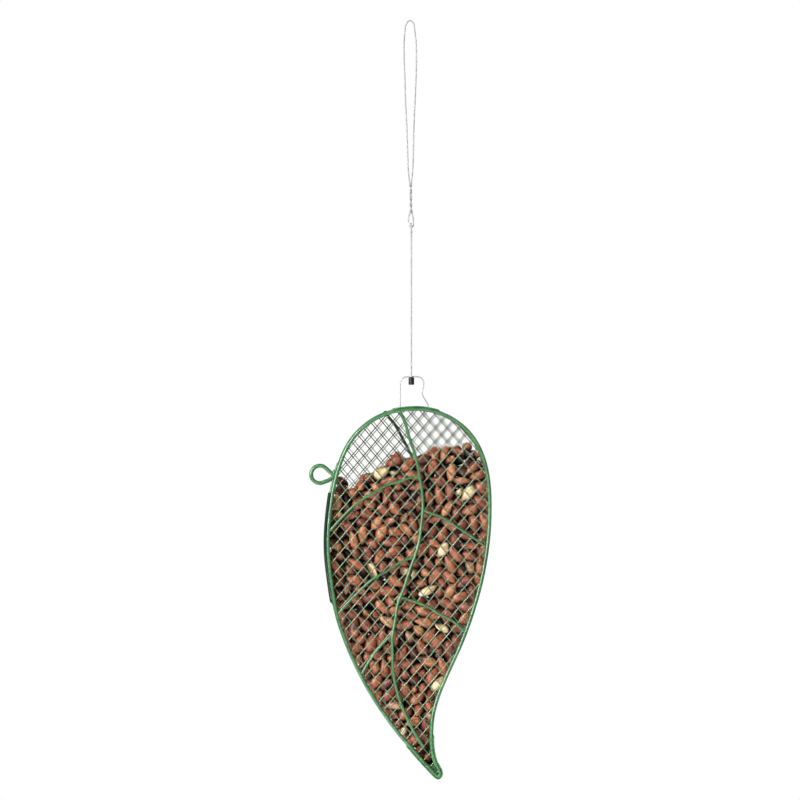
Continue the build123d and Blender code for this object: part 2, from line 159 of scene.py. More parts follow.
class Builder:
    """Collects closed forms into one mesh, with a "tag" colour that the materials read."""

    def __init__(self):
        self.verts, self.faces, self.tags, self.count = [], [], [], 0

    def add(self, verts, faces, tag=(0.5, 0.5, 0.5, 1.0)):
        """tag: one colour, or one for each vertex."""
        self.verts.append(np.asarray(verts, float))
        self.faces += [tuple(i + self.count for i in face) for face in faces]
        self.tags.append(np.broadcast_to(np.array(tag, float), (len(verts), 4)))
        self.count += len(verts)

    def tube(self, path, radius, sides=8, **look):
        """A round tube along a path, with low domed ends."""
        path = np.asarray(path, float)
        radius = np.broadcast_to(np.asarray(radius, float), (len(path),))
        tangent, normal, binormal = frames(path)
        angle = (2 * np.pi * np.arange(sides) / sides)[:, None]
        rings = [
            path[i] + radius[i] * (np.cos(angle) * normal[i] + np.sin(angle) * binormal[i])
            for i in range(len(path))
        ]
        lead, tail = (
            path[end] + way * tangent[end] * radius[end] * 0.45 + (rings[end] - path[end]) * 0.7
            for end, way in ((0, -1), (-1, 1))
        )
        rings = [lead] + rings + [tail]
        self.add(np.vstack(rings), band_faces(len(rings), sides), **look)

    def make(self, name, material, body, replaces=()):
        mesh = bpy.data.meshes.new(name)
        mesh.from_pydata((np.vstack(self.verts) * MM).tolist(), [], self.faces)
        mesh.validate()
        mesh.update()
        attr = mesh.color_attributes.new("tag", "FLOAT_COLOR", "POINT")
        attr.data.foreach_set("color", np.vstack(self.tags).astype(np.float32).ravel())
        mesh.polygons.foreach_set("use_smooth", [True] * len(mesh.polygons))
        mesh.materials.append(material)
        obj = bpy.data.objects.new(name, mesh)
        bpy.context.scene.collection.objects.link(obj)
        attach(obj, body)
        if replaces:
            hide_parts(*replaces)


# ------------------------------------------------------------------ shader tools
class Shader:
    """Shorthand for the nodes of one tree. Methods other than node return a socket."""

    def __init__(self, tree):
        self.tree = tree

    def node(self, kind, **values):
        made = self.tree.nodes.new(kind)
        for key, value in values.items():
            if key in made.inputs.keys():
                made.inputs[key].default_value = value
            else:
                setattr(made, key, value)
        return made

    def feed(self, node, inputs):
        """Links or sets inputs, given as {name or index: socket or value}."""
        for key, value in inputs.items():
            if isinstance(value, bpy.types.NodeSocket):
                self.tree.links.new(value, node.inputs[key])
            else:
                node.inputs[key].default_value = value

    def coords(self, space="Object"):
        return self.node("ShaderNodeTexCoord").outputs[space]

    def component(self, space, axis):
        split = self.node("ShaderNodeSeparateXYZ")
        self.feed(split, {0: self.coords(space)})
        return split.outputs[axis]

    def noise(self, scale, detail=3.0, rough=0.55, vector=None):
        made = self.node("ShaderNodeTexNoise", Scale=scale, Detail=detail, Roughness=rough)
        self.feed(made, {"Vector": vector or self.coords()})
        return made.outputs["Fac"]

    def tags(self):
        """The red, green and blue of the tag colour."""
        split_from = self.node("ShaderNodeAttribute", attribute_name="tag")
        split = self.node("ShaderNodeSeparateColor")
        self.feed(split, {"Color": split_from.outputs["Color"]})
        return split.outputs

    def ramp(self, source, stops):
        """stops: (position, rgb)."""
        made = self.node("ShaderNodeValToRGB")
        elements = made.color_ramp.elements
        while len(elements) < len(stops):
            elements.new(0.5)
        for element, (position, rgb) in zip(elements, stops):
            element.position = position
            element.color = (*rgb, 1.0)
        self.feed(made, {"Fac": source})
        return made.outputs["Color"]

    def math(self, operation, first, second):
        made = self.node("ShaderNodeMath", operation=operation)
        self.feed(made, {0: first, 1: second})
        return made.outputs[0]

    def blend(self, factor, first, second, mode="MIX"):
        made = self.node("ShaderNodeMix", data_type="RGBA", blend_type=mode)
        # 0, 6 and 7 are the factor and the two colours
        self.feed(made, {0: factor, 6: first, 7: second})
        return made.outputs[2]

    def multiply(self, colour, shade, factor=1.0):
        return self.blend(factor, colour, shade, "MULTIPLY")

    def span(self, source, start, end):
        """Maps the range start onto the range end."""
        made = self.node("ShaderNodeMapRange")
        self.feed(made, {"From Min": start[0], "From Max": start[1],
                         "To Min": end[0], "To Max": end[1], "Value": source})
        return made.outputs["Result"]

    def bump(self, height, distance, strength):
        made = self.node("ShaderNodeBump", Strength=strength, Distance=distance)
        self.feed(made, {"Height": height})
        return made.outputs["Normal"]


def new_material(name):
    material = bpy.data.materials.new(name)
    material.use_nodes = True
    tree = material.node_tree
    return material, Shader(tree), tree.nodes["Principled BSDF"]


def grey(tone):
    return (tone, tone, tone)


# ------------------------------------------------------------------ materials
HEAP_SLOPE = (-0.35, 0.0, 1.0)  # dot product with the place gives the height over the heap's line
# painted shade: above the heap's line the wire coat is darkened
HEAP_EDGE = (-0.352, -0.344)  # the range of that height where the coat turns dark, m
CHIP_GAIN = (2.0, 1.5, 1.8)  # how much lighter than the coat a chip is, per channel
CHIP_LIFT = 0.05


def paint(name, tones, rough, coat, tagged=False, inner=1.0, chips=0.30):
    """Powder coat: slow colour drift, orange peel and small chips of wear.

    tones: dark, middle and light. tagged: each wire carries its own tone, a random part plus a
    painted highlight on the rising layer and painted shade on the falling layer, and the coat
    has painted shade above the heap, where no light comes back off the kernels.
    inner: tone of the faces that look towards the front, a painted shade. chips: where wear
    starts."""
    material, shader, bsdf = new_material(name)
    colour = shader.ramp(shader.noise(scale=90.0), list(zip((0.3, 0.52, 0.75), tones)))
    geometry = shader.node("ShaderNodeNewGeometry")
    speck = shader.noise(scale=900.0, detail=2.0, rough=0.7)
    worn = shader.math("MULTIPLY", geometry.outputs["Pointiness"], speck)
    edge = shader.ramp(worn, [(chips, grey(0)), (chips + 0.06, grey(1))])
    chip = [tone * gain + CHIP_LIFT for tone, gain in zip(tones[2], CHIP_GAIN)]
    colour = shader.blend(edge, colour, (*chip, 1))
    if tagged:
        # painted light: rising wires get a painted highlight and falling wires painted shade, over
        # a random tone
        colour = shader.multiply(colour, shader.ramp(shader.tags()["Red"], [
            (0.0, (0.50, 0.56, 0.50)), (0.4, (0.72, 0.80, 0.74)), (0.95, (1.40, 1.30, 1.30))]))
        # painted shade on the wires above the heap
        dot = shader.node("ShaderNodeVectorMath", operation="DOT_PRODUCT")
        shader.feed(dot, {0: shader.coords(), 1: HEAP_SLOPE})
        rise = dot.outputs["Value"]
        colour = shader.multiply(colour, shader.span(rise, HEAP_EDGE, (1.0, 0.16)))
    # painted shade on the faces that look towards the front
    if inner < 1.0:
        facing = shader.component("Normal", "Y")
        colour = shader.multiply(colour, shader.span(facing, (-0.3, 0.5), (inner, 1.0)))
    peel = dict(distance=0.00008, strength=0.45)
    shader.feed(bsdf, {
        "Base Color": colour,
        "Roughness": shader.span(shader.noise(scale=260.0), (0.0, 1.0),
                                 (rough - 0.07, rough + 0.12)),
        "Normal": shader.bump(shader.noise(scale=750.0, detail=2.5, rough=0.6), **peel),
        "Coat Weight": coat,
        "Coat Roughness": 0.09,
        "Specular IOR Level": 0.6,
    })
    if tagged:
        shader.feed(bsdf, {
            "Coat Weight": shader.span(rise, HEAP_EDGE, (coat, 0.0)),
            "Specular IOR Level": shader.span(rise, HEAP_EDGE, (0.6, 0.15)),
        })
    return material


def metal(name, stops, grain, metallic, roughness, pits):
    """Grainy metal. grain: noise settings; pits: bump settings."""
    material, shader, bsdf = new_material(name)
    speckle = shader.noise(**grain)
    shader.feed(bsdf, {
        "Base Color": shader.ramp(speckle, stops),
        "Metallic": metallic,
        "Roughness": roughness,
        "Normal": shader.bump(speckle, **pits),
    })
    return material


def steel(name, tones):
    return metal(
        name, [(at, (tone, tone, tone * 0.99)) for at, tone in zip((0.3, 0.55, 0.8), tones)],
        grain=dict(scale=700.0), metallic=0.45, roughness=0.38,
        pits=dict(distance=0.00005, strength=0.5))


def peanut_skin():
    """Peanut skins: red-brown with darker veins, pale where the skin is off.

    Tag red is the tone, green is how bare the kernel is, blue is the painted shade for how deep it
    lies;
    ambient occlusion adds painted shade in the crevices."""
    material, shader, bsdf = new_material("peanut_skin")
    tags = shader.tags()
    skin = shader.ramp(tags["Red"], [
        (0.0, (0.145, 0.029, 0.018)), (0.3, (0.305, 0.070, 0.038)),
        (0.65, (0.490, 0.148, 0.067)), (1.0, (0.670, 0.280, 0.122))])
    coords = shader.coords()
    vein = shader.noise(scale=420.0, detail=5.0, rough=0.65, vector=coords)
    shade = shader.ramp(vein, [
        (0.30, (0.42, 0.34, 0.30)), (0.50, (0.90, 0.88, 0.86)), (0.70, (1.3, 1.25, 1.2))])
    veined = shader.multiply(skin, shade, factor=0.9)
    blond = shader.ramp(shader.noise(scale=180.0, rough=0.5, vector=coords), [
        (0.3, (0.72, 0.46, 0.22)), (0.5, (0.92, 0.74, 0.44)), (0.7, (0.98, 0.86, 0.62))])
    colour = shader.blend(tags["Green"], veined, blond)
    # painted shade from tag blue: kernels deep in the heap and in the gaps are darkened
    deep = shader.ramp(tags["Blue"], [
        (0.0, grey(1)), (0.45, (0.42, 0.36, 0.34)), (1.0, (0.05, 0.035, 0.03))])
    colour = shader.multiply(colour, deep)
    # painted shade: ambient occlusion darkens the crevices between kernels
    occlusion = shader.node("ShaderNodeAmbientOcclusion", Distance=0.007, samples=6, only_local=True)
    crevice = shader.ramp(occlusion.outputs["AO"], [
        (0.15, (0.06, 0.045, 0.04)), (0.50, (0.60, 0.55, 0.53)), (0.88, (1.18, 1.16, 1.15))])
    colour = shader.multiply(colour, crevice)
    fine = shader.noise(scale=900.0, detail=4.0, rough=0.7, vector=coords)
    relief = shader.math("ADD", vein, fine)
    shader.feed(bsdf, {
        "Base Color": colour,
        "Roughness": 0.36,
        "Specular IOR Level": 0.6,
        "Coat Weight": 0.25,
        "Coat Roughness": 0.22,
        "Sheen Weight": 0.15,
        "Sheen Roughness": 0.4,
        "Normal": shader.bump(relief, distance=0.00045, strength=0.8),
    })
    return material


# dark, middle and light tone of each coat
GREEN_TONES = ((0.018, 0.105, 0.030), (0.036, 0.180, 0.050), (0.062, 0.245, 0.075))
# the mesh coats are paler than the frame's green as a painted highlight of the glossy wires
FRONT_TONES = ((0.070, 0.155, 0.058), (0.140, 0.245, 0.102), (0.240, 0.335, 0.170))
SIDE_TONES = ((0.060, 0.150, 0.055), (0.125, 0.240, 0.098), (0.230, 0.330, 0.165))
REAR_TONES = ((0.110, 0.210, 0.105), (0.190, 0.310, 0.165), (0.290, 0.400, 0.240))
STRAP_TONES = ((0.016, 0.098, 0.027), (0.032, 0.165, 0.045), (0.056, 0.225, 0.068))
# the folded strap end is the frame's green darkened as painted shade
FOLD_SHADE_TONES = ((0.016, 0.050, 0.020), (0.030, 0.090, 0.036), (0.060, 0.140, 0.062))
# the door plate's coat is near black: painted shade for a plate that sits in shadow behind the
# ring
DOOR_SHADE_TONES = ((0.001, 0.010, 0.005), (0.002, 0.018, 0.009), (0.006, 0.032, 0.015))

GREEN = paint("green_powder_coat", GREEN_TONES, rough=0.30, coat=1.0)
FRONT_MESH = paint("mesh_powder_coat", FRONT_TONES, rough=0.22, coat=0.9, tagged=True)
SIDE_MESH = paint("side_mesh_powder_coat", SIDE_TONES, rough=0.22, coat=0.9)
# the rear mesh and the rear rib get painted shade on their front-facing faces
REAR_MESH = paint("rear_mesh_powder_coat", REAR_TONES, rough=0.32, coat=0.4, inner=0.95)
REAR_RIB = paint("rear_rib_powder_coat", GREEN_TONES, rough=0.40, coat=0.25, inner=0.14)
STRAP = paint("strap_powder_coat", STRAP_TONES, rough=0.46, coat=0.12)
FOLD = paint("folded_end_powder_coat", FOLD_SHADE_TONES, rough=0.35, coat=0.3)
DOOR = paint("door_powder_coat", DOOR_SHADE_TONES, rough=0.42, coat=0.05, chips=0.38)
STEEL = steel("galvanised_steel", tones=(0.40, 0.56, 0.68))
SLEEVE = metal(
    "blackened_sleeve",
    [(0.3, (0.016, 0.016, 0.018)), (0.6, (0.045, 0.045, 0.048)), (0.85, grey(0.12))],
    grain=dict(scale=500.0, detail=4.0, rough=0.6), metallic=0.6, roughness=0.42,
    pits=dict(distance=0.00015, strength=0.6))
KERNEL = peanut_skin()

# ------------------------------------------------------------------ CAD pieces
UNDRESSED = ("peanuts", "hanging_loop", "loop_splice", "cable_drop", "ferrule")
DRESS = {"door_plate": DOOR, "top_strap": STRAP, "tip_strap": STRAP, "rear_midrib": REAR_RIB,
         "bail": STEEL, "side_mesh": SIDE_MESH}  # every other piece is GREEN


def dress(name, material):
    mesh = nodes[name].data
    mesh.materials.clear()
    mesh.materials.append(material)
    for poly in mesh.polygons:
        poly.material_index = 0
        poly.use_smooth = True


def cad_points(name):
    """Vertices of a CAD piece in millimetres."""
    mesh = nodes[name].data
    flat = np.zeros(len(mesh.vertices) * 3)
    mesh.vertices.foreach_get("co", flat)
    return flat.reshape(-1, 3) * 1000.0


for piece in nodes:
    if piece not in UNDRESSED:
        dress(piece, DRESS.get(piece, GREEN))

# ------------------------------------------------------------------ mesh panels
# Each panel has an outer layer of wires rising to +X and an inner layer falling to +X.
DIAMOND_WIDTH = 9.44
DIAMOND_HEIGHT = 11.08
SLOPE = math.atan2(DIAMOND_HEIGHT, DIAMOND_WIDTH)
PITCH = DIAMOND_WIDTH * math.sin(SLOPE)  # between neighbouring wires, square to them
CROSSING = (-51.8, -375.1)  # (x, z) of one crossing on the front panel
REAR_SHIFT = 3.1  # how far the rear panel's crossings sit to +X
CAD_WIRE_R = 0.45
WIRE_R = 0.38
WELD = (0.62, 0.74, 0.66)  # half sizes of the coating round a weld
END_GAP = 1.2  # CAD vertices closer than this belong to one wire end


def wires_of(name, shift):
    """The straight wires of a CAD panel, read back from its own mesh.

    Returns the rising and the falling layer, each as direction, y and a list of
    wires (offset square to the direction, start and end along it)."""
    points = cad_points(name)
    side = 1 if points[:, 1].mean() > 0 else -1
    depth = np.abs(points[:, 1])
    outer, inner = depth.max() - CAD_WIRE_R, depth.min() + CAD_WIRE_R
    layers = []
    for rising, y, near in ((1, outer, depth > outer - 0.2), (-1, inner, depth < inner + 0.2)):
        way = np.array([math.cos(SLOPE), rising * math.sin(SLOPE)])
        first = -way[1] * (CROSSING[0] + shift) + way[0] * CROSSING[1]
        flat = points[near][:, [0, 2]]
        offset = -way[1] * flat[:, 0] + way[0] * flat[:, 1]
        line = np.round((offset - first) / PITCH).astype(int)
        along = flat @ way
        wires = []
        for k in np.unique(line):
            places = np.sort(along[line == k])
            groups = np.split(places, np.where(np.diff(places) > END_GAP)[0] + 1)
            ends = [group.mean() for group in groups]
            for start, end in zip(ends[::2], ends[1::2]):
                wires.append((first + k * PITCH, start, end))
        layers.append((way, side * y, wires))
    return layers


def add_wire(builder, way, y, wire, layer_light_shade):
    """One slightly wavy, slightly uneven wire."""
    offset, start, end = wire
    count = max(2, int((end - start) / 5.0) + 1)
    along = np.linspace(start, end, count)
    fade = np.sin(np.pi * np.linspace(0, 1, count))
    offset = offset + 0.10 * np.sin(along / 17.0 + rng.uniform(0, 6)) * fade
    path = np.c_[along * way[0] - offset * way[1], np.full(count, y),
                 along * way[1] + offset * way[0]]
    radius = np.clip(WIRE_R * (1.0 + 0.05 * rng.standard_normal(count)), 0.33, 0.44)
    # a random tone plus the layer's painted light: highlight on rising wires, shade on falling
    # ones
    tone = rng.uniform(0.0, 0.4) + layer_light_shade
    builder.tube(path, radius, tag=(tone, 0, 0, 1))


def add_welds(builder, rising, falling):
    """The coating pools round each weld."""
    (way_r, y_r, wires_r), (way_f, y_f, wires_f) = rising, falling
    verts, faces = ball(4, 8)
    middle = (y_r + y_f) / 2
    to_plane = np.linalg.inv(np.array([[-way_r[1], way_r[0]], [-way_f[1], way_f[0]]]))
    for (offset_r, start_r, end_r), (offset_f, start_f, end_f) in product(wires_r, wires_f):
        x, z = to_plane @ np.array([offset_r, offset_f])
        along_r = x * way_r[0] + z * way_r[1]
        along_f = x * way_f[0] + z * way_f[1]
        if start_r < along_r < end_r and start_f < along_f < end_f:
            size = rng.uniform(0.9, 1.15)
            scale = [WELD[0] * size, WELD[1], WELD[2] * size]
            builder.add(verts * scale + [x, middle, z], faces, (0.2, 0, 0, 1))


def panel(name, shift, material):
    layers = wires_of(name, shift)
    builder = Builder()
    # 0.55 gives the rising layer a painted highlight, 0.02 leaves the falling layer in painted
    # shade
    for (way, y, wires), layer_light_shade in zip(layers, (0.55, 0.02)):
        for wire in wires:
            add_wire(builder, way, y, wire, layer_light_shade)
    add_welds(builder, *layers)
    builder.make(name + "_wires", material, "feeder", [name])


panel("front_mesh", 0.0, FRONT_MESH)
panel("rear_mesh", REAR_SHIFT, REAR_MESH)

# ------------------------------------------------------------------ cable
ROPE_R = 0.55
LAY = 7.5  # length of one turn of the rope's strands
SPLICE_TOP, SPLICE_BOTTOM, SPLICE_TURNS = -130.5, -152.5, 2
SPLICE_R = 0.60  # from the splice's axis to each of its two ropes
KNOT = (0.9, -163.2)  # (x, z) of the eye under the splice
EYE_R = 1.5

# the hanging loop above the splice, (x, z) from left to right
LOOP_BEND = [
    (-2.2, -101.6), (-2.9, -82.4), (-3.8, -63.2), (-4.4, -44.0), (-5.0, -24.8), (-4.9, -15.2),
    (-4.2, -6.6), (-2.6, -1.2), (0.0, 0.55), (2.3, -1.0), (3.4, -5.6), (4.5, -15.2), (4.9, -24.8),
    (4.6, -44.0), (3.8, -63.2), (3.0, -82.4), (2.5, -101.6),
]
LEFT_TAIL = [(-1.5, -160.8), (-1.4, -158.2), (-0.9, -155.4)]  # (x, z)
RIGHT_TAIL = [(2.0, -156.0), (2.45, -159.4)]
# the hook of the drop through the eye: (y, z above the knot), one side from bottom to top
HOOK_SIDE = [(0.15, -5.4), (0.62, -3.6), (1.08, -1.6), (0.95, -0.2)]
HOOK_TOP = 0.30


def rope(builder, path):
    """A laid wire rope: six strands round a core."""
    _, normal, binormal = frames(path)
    core = ROPE_R * 0.36
    for j in range(6):
        angle = (2 * np.pi * j / 6 + 2 * np.pi * arc_length(path) / LAY)[:, None]
        around = np.cos(angle) * normal + np.sin(angle) * binormal
        builder.tube(path + (ROPE_R - core) * around, core, 6)
    builder.tube(path, core, 6)


def splice_rope(half_turns):
    """One of the two ropes twisted together, from the top down."""
    points = []
    for i in range(8 * SPLICE_TURNS + 1):
        share = i / (8 * SPLICE_TURNS)
        angle = math.pi * half_turns + 2 * math.pi * SPLICE_TURNS * share
        points.append((0.2 + 0.45 * share + SPLICE_R * math.cos(angle),
                       SPLICE_R * math.sin(angle),
                       SPLICE_TOP + (SPLICE_BOTTOM - SPLICE_TOP) * share))
    return points


def cable_loop():
    """One rope: left tail, splice, loop, splice again, and the eye."""
    eye = arc(KNOT, EYE_R, range(5, -290, -24))
    points = (
        in_plane(LEFT_TAIL) + splice_rope(1)[::-1]
        + in_plane([(-1.4, -121.0)] + LOOP_BEND + [(1.7, -121.0)])
        + splice_rope(0) + in_plane(RIGHT_TAIL + eye)
    )
    builder = Builder()
    rope(builder, spline(points, 0.55))
    # bright whipping wires where the tails part, at both ends of the splice
    for x, z in ((0.2, -131.2), (0.64, -151.8)):
        whipping = coil(x, z, radius=1.22, turns=3, pitch=0.42, samples=60)
        builder.tube(whipping, 0.16, 6)
    builder.make("cable_loop_rope", STEEL, "loop", ["hanging_loop", "loop_splice"])


def cable_drop():
    """The rope from the eye down to the bail, with a hook and a whipping at its top."""
    x, z = KNOT
    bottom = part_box("cable_drop")[0].z * 1000
    hook = [(-y, rise) for y, rise in HOOK_SIDE] + [(0.0, HOOK_TOP)] + HOOK_SIDE[::-1]
    builder = Builder()
    builder.tube(spline([(x, y, z + rise) for y, rise in hook], 0.35), 0.42)
    rope(builder, np.c_[np.full(300, x), np.zeros(300), np.linspace(z - 4.6, bottom, 300)])
    builder.tube(coil(x, z - 5.0, radius=0.68, turns=4, pitch=0.36, samples=80), 0.17, 6)
    builder.make("cable_drop_rope", STEEL, "cable", ["cable_drop"])


cable_loop()
cable_drop()

# ------------------------------------------------------------------ bail
BAIL_R = 0.5
FOOT = -310.3225  # z of both feet
# (x, z) of each leg from the ring at the top down to its foot
LEFT_LEG = [
    (-0.2, -284.30), (-1.4, -284.32), (-3.2, -284.42), (-5.4, -285.10), (-7.0, -286.60),
    (-7.9, -289.0), (-8.15, -293.0), (-8.2, -300.0), (-8.2, -305.0), (-8.2, -308.72),
    (-8.08, -309.33), (-7.73, -309.85), (-7.21, -310.20), (-6.6, FOOT), (-5.2, FOOT),
    (-3.65, FOOT),
]
RIGHT_LEG = [
    (2.0, -284.30), (3.4, -284.30), (5.6, -284.36), (7.8, -284.95), (9.6, -286.1), (10.6, -288.0),
    (10.6, -291.0), (9.9, -294.6), (9.5, -297.4), (10.5, -300.4), (12.2, -303.2), (13.8, -306.0),
    (14.49, -308.70), (14.50, -309.29), (14.25, -309.82), (13.80, -310.19), (13.23, FOOT),
    (11.8, FOOT), (10.05, FOOT),
]


def bail():
    """A bent wire: a flat ring round the cable and two legs."""
    builder = Builder()
    ring = coil(KNOT[0], -284.3, radius=1.15, turns=0.985, pitch=0, samples=48)
    builder.tube(ring, BAIL_R, 12)
    for leg in (LEFT_LEG, RIGHT_LEG):
        builder.tube(spline(in_plane(leg), 0.4), BAIL_R, 12)
    bright = steel("bright_steel_wire", tones=(0.54, 0.70, 0.80))
    builder.make("bail_wire", bright, "bail", ["bail"])


bail()

# ------------------------------------------------------------------ tip
# outline of the folded strap ends, (x, z)
FOLD_EDGE = [
    (11.4, -592.2), (13.4, -594.9), (15.9, -597.5), (18.6, -600.4), (21.0, -601.9), (22.4, -601.4),
    (22.7, -599.6), (21.6, -596.6), (20.4, -593.6), (19.9, -592.0), (17.2, -593.2), (14.2, -593.3),
]
FOLD_TOP = (0, 9, 10, 11)  # the outline points along the top, which are dented
FOLD_YS = [-17.2, -16.9, -8.0, 0.0, 8.0, 16.9, 17.2]


def tip_fold():
    """The strap's ends are folded in and close the last of the tip."""
    middle = np.mean(FOLD_EDGE, axis=0)
    verts = []
    for y in FOLD_YS:
        scale = 0.93 if abs(y) > 17 else 1.0
        dent = 0.35 * math.cos(y / 5.4)
        for i, (x, z) in enumerate(FOLD_EDGE):
            verts.append((middle[0] + (x - middle[0]) * scale, y,
                          middle[1] + (z - middle[1]) * scale + (dent if i in FOLD_TOP else 0.0)))
    builder = Builder()
    faces = band_faces(len(FOLD_YS), len(FOLD_EDGE))
    builder.add(verts, [face[::-1] for face in faces])
    builder.make("tip_fold", FOLD, "feeder")


tip_fold()

# ------------------------------------------------------------------ ferrule
FERRULE_SIDES, FERRULE_ROWS = 48, 28
FERRULE_EDGE = 0.9  # radius of the rounded rims
FERRULE_BORE = 0.57
CRIMPS = (0.25, 0.5, 0.75)  # places of the crimps, as shares of the height
CRIMP_DEPTH, CRIMP_WIDTH = 0.16, 0.42


def ferrule():
    """A sleeve with three pressed bands left by the crimping tool."""
    low, high = (np.array(corner) * 1000 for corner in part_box("ferrule"))
    radius, height = (high[0] - low[0]) / 2, high[2] - low[2]
    angles = [2 * math.pi * j / FERRULE_SIDES for j in range(FERRULE_SIDES)]
    verts = []

    def ring(z, radii):
        for a, r in zip(angles, radii):
            verts.append((low[0] + radius + r * math.cos(a), r * math.sin(a), z))

    for i in range(FERRULE_ROWS + 1):
        share = i / FERRULE_ROWS
        short = FERRULE_EDGE - min(min(share, 1 - share) * height, FERRULE_EDGE)
        outer = radius - FERRULE_EDGE + math.sqrt(max(0.0, FERRULE_EDGE**2 - short**2))
        press = CRIMP_DEPTH * sum(
            math.exp(-(((share - crimp) * height) / CRIMP_WIDTH) ** 2) for crimp in CRIMPS)
        ring(low[2] + height * share,
             [outer - press * (0.6 + 0.4 * abs(math.cos(3 * a))) for a in angles])
    for z in (low[2] + height, low[2]):
        ring(z, [FERRULE_BORE] * FERRULE_SIDES)
    builder = Builder()
    builder.add(verts, band_faces(FERRULE_ROWS + 3, FERRULE_SIDES, closed=True))
    builder.make("crimped_ferrule", SLEEVE, "cable", ["ferrule"])


ferrule()

# ------------------------------------------------------------------ pull loop
PULL_HUB = (-72.3, -362.5)  # (x, z)
PULL_R = 6.95
PULL_WIRE_R = 1.62
# (x, z) of the wire's two ends and of the bead on the shank
PULL_START = [(-61.0, -363.0), (-62.9, -361.7), (-65.2, -359.7)]
PULL_END = [(-66.4, -367.7), (-63.6, -366.2), (-61.4, -364.6)]
BEAD = [(-60.7, -366.4), (-60.8, -364.6), (-61.0, -362.4), (-61.1, -360.4), (-61.0, -358.9)]


def pull_loop():
    """A wire ring, and the weld bead where both its ends meet the shank."""
    circle = arc(PULL_HUB, PULL_R, range(44, 301, 16))
    builder = Builder()
    builder.tube(spline(in_plane(PULL_START + circle + PULL_END), 0.6), PULL_WIRE_R, 20)
    bead = spline(in_plane(BEAD), 0.4)
    swell = np.sin(np.pi * np.linspace(0.04, 0.96, len(bead)))
    ripple = np.sin(np.arange(len(bead)) * 1.9)
    builder.tube(bead, 0.5 + 1.05 * swell + 0.10 * ripple, 16)
    builder.make("pull_loop_wire", GREEN, "door", ["handle_loop"])


pull_loop()

# ------------------------------------------------------------------ the space for the peanuts
# read from the CAD fill: its outline, with the heap's top line, on a grid in XZ
GRID = 1.0
MARGIN = 4
fill = cad_points("peanuts")
half = np.abs(fill[:, 1]).max()  # half the fill's depth along Y
x0, z0 = fill[:, 0].min() - MARGIN, fill[:, 2].min() - MARGIN
nx = int((fill[:, 0].max() + MARGIN - x0) / GRID) + 2
nz = int((fill[:, 2].max() + MARGIN - z0) / GRID) + 2


def fill_mask():
    """The cells covered by the fill's rear face."""
    mesh = nodes["peanuts"].data
    mesh.calc_loop_triangles()
    mask = np.zeros((nx, nz), bool)
    grid_x, grid_z = np.meshgrid(x0 + GRID * np.arange(nx), z0 + GRID * np.arange(nz),
                                 indexing="ij")
    for tri in mesh.loop_triangles:
        x, y, z = fill[list(tri.vertices)].T
        if y.min() < half - 0.01:
            continue
        area = (x[1] - x[0]) * (z[2] - z[0]) - (z[1] - z[0]) * (x[2] - x[0])
        if abs(area) < 1e-9:
            continue
        window = np.s_[int((x.min() - x0) / GRID):int((x.max() - x0) / GRID) + 2,
                       int((z.min() - z0) / GRID):int((z.max() - z0) / GRID) + 2]
        cell_x, cell_z = grid_x[window], grid_z[window]
        shares = [((x[i] - cell_x) * (z[j] - cell_z) - (z[i] - cell_z) * (x[j] - cell_x)) / area
                  for i, j in ((1, 2), (2, 0))]
        shares.append(1 - shares[0] - shares[1])
        mask[window] |= np.min(shares, axis=0) >= -0.01
    return mask


def distance_inside(mask):
    """Distance in from the edge for every cell, by repeated sweeps."""
    distance = np.where(mask, 1e3, 0.0)
    for _, axis, way in product(range(2), (0, 1), (1, -1)):
        for _ in range(60):
            best = distance
            for side in (0, 1, -1):
                shift = (way, side) if axis == 0 else (side, way)
                step = 1.414 if side else 1.0
                best = np.minimum(best, np.roll(distance, shift, (0, 1)) + step)
            best = np.where(mask, best, 0.0)
            if np.allclose(best, distance):
                break
            distance = best
    return distance


mask = fill_mask()
depth_in = distance_inside(mask)
inside = (depth_in - distance_inside(~mask)) * GRID  # signed distance, positive inside
inward_x, inward_z = np.gradient(inside, GRID)
steepness = np.maximum(np.hypot(inward_x, inward_z), 1e-6)
inward_x, inward_z = inward_x / steepness, inward_z / steepness


def grid_cells(points):
    """Grid indices of the cells that hold the points."""
    i = np.clip(((points[:, 0] - x0) / GRID).round().astype(int), 0, nx - 1)
    j = np.clip(((points[:, 2] - z0) / GRID).round().astype(int), 0, nz - 1)
    return i, j


# ------------------------------------------------------------------ packing the kernels
# While packing, a kernel is three spheres in a row; the end ones are a bit smaller.
COUNT = 840
STEPS = 420
PAIR_EVERY = 12  # steps between searches for neighbours
CELL = 9.5  # size of a search cell
REACH = 3.0  # gap up to which two spheres count as neighbours
WALL_GAP = 0.15  # kept between spheres and the faces of the fill
OVERHANG = 0.9  # how far spheres may stick out of the outline

LONG = rng.uniform(2.5, 3.9, COUNT)  # from a kernel's centre to its end spheres
RAD = rng.uniform(3.65, 4.45, COUNT)
OWNER = np.repeat(np.arange(COUNT), 3)
BALL_R = np.repeat(RAD, 3) * np.tile([0.88, 1.0, 0.88], COUNT)


